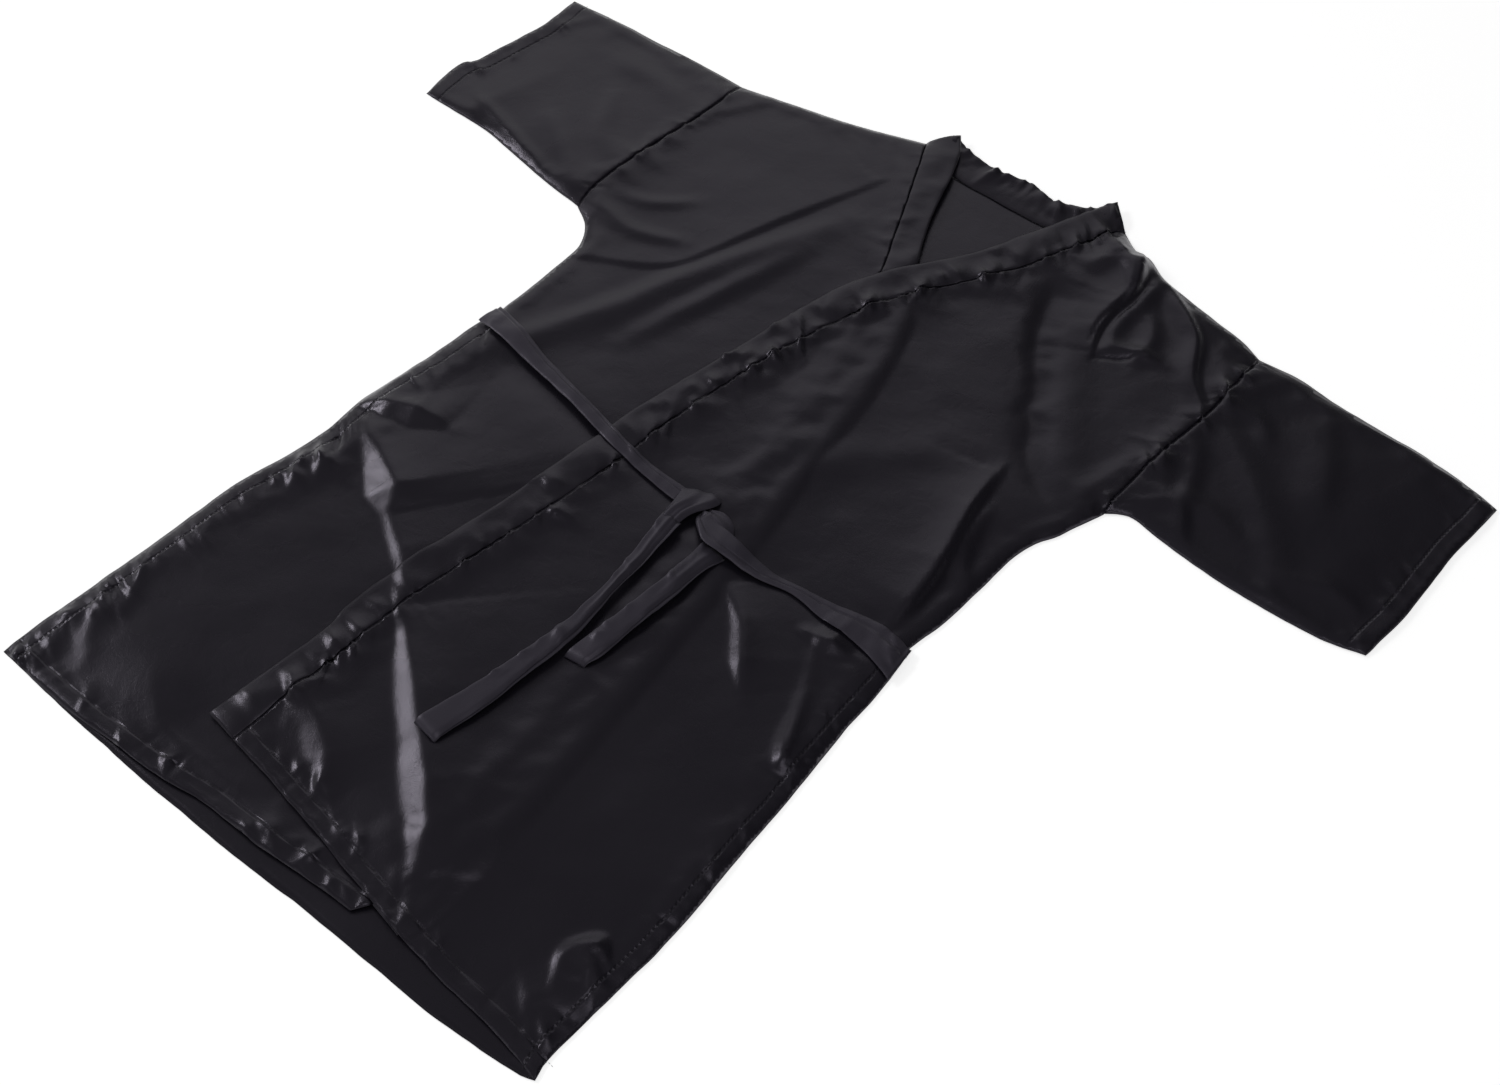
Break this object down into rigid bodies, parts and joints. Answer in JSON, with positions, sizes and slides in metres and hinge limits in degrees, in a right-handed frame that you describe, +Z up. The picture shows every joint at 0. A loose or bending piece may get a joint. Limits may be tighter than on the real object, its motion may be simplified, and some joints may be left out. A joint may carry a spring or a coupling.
{
  "type": "salon client gown",
  "caption": "Wrap-front black satin salon gown with short wide sleeves and a neck band, laid flat and tied at the waist with a half knot.",
  "frame": {"origin": "on the floor under the middle of the gown's bounding box, the gown lying on its back", "axes": "+Z up out of the front of the gown, +Y from the hem to the neck, +X towards the wearer's left cuff"},
  "size_m": [1.06, 0.9999, 0.0204],
  "materials": {
    "gown_satin": "woven polyester satin, soft sheen",
    "band_satin": "satin folded double and pressed",
    "seam_thread": "spun polyester thread"
  },
  "bodies": {
    "gown": {"back_hem_thread": "seam_thread", "back_neck_band": "band_satin", "back_panel": "gown_satin", "left_armhole_thread": "seam_thread", "left_band_thread": "seam_thread", "left_front_band": "band_satin", "left_front_panel": "gown_satin", "left_hem_thread": "seam_thread", "left_shoulder_seam": "gown_satin", "left_side_seam": "gown_satin", "left_side_thread": "seam_thread", "left_tie": "band_satin", "neck_band_thread": "seam_thread", "right_armhole_thread": "seam_thread", "right_band_thread": "seam_thread", "right_front_band": "band_satin", "right_front_panel": "gown_satin", "right_hem_thread": "seam_thread", "right_shoulder_seam": "gown_satin", "right_side_seam": "gown_satin", "right_side_thread": "seam_thread", "right_tie": "band_satin", "tie_knot": "band_satin"},
    "right_sleeve": {"right_sleeve": "gown_satin", "right_cuff_thread": "seam_thread"},
    "left_sleeve": {"left_sleeve": "gown_satin", "left_cuff_thread": "seam_thread"},
    "long_tail": {"long_tie_tail": "band_satin"},
    "short_tail": {"short_tie_tail": "band_satin"}
  },
  "joints": [
    {"name": "right_sleeve_fold", "type": "hinge", "parent": "gown", "child": "right_sleeve", "pos_m": [-0.3015, 0.288, 0.0095], "axis": [0, 1, 0], "range_deg": [0, 150]},
    {"name": "left_sleeve_fold", "type": "hinge", "parent": "gown", "child": "left_sleeve", "pos_m": [0.3015, 0.288, 0.0112], "axis": [0, -1, 0], "range_deg": [0, 150]},
    {"name": "long_tail_lift", "type": "hinge", "parent": "gown", "child": "long_tail", "pos_m": [0.031, -0.064, 0.0198], "axis": [-1, 0, 0], "range_deg": [0, 160]},
    {"name": "short_tail_lift", "type": "hinge", "parent": "gown", "child": "short_tail", "pos_m": [0.072, -0.064, 0.0198], "axis": [-1, 0, 0], "range_deg": [0, 160]}
  ]
}
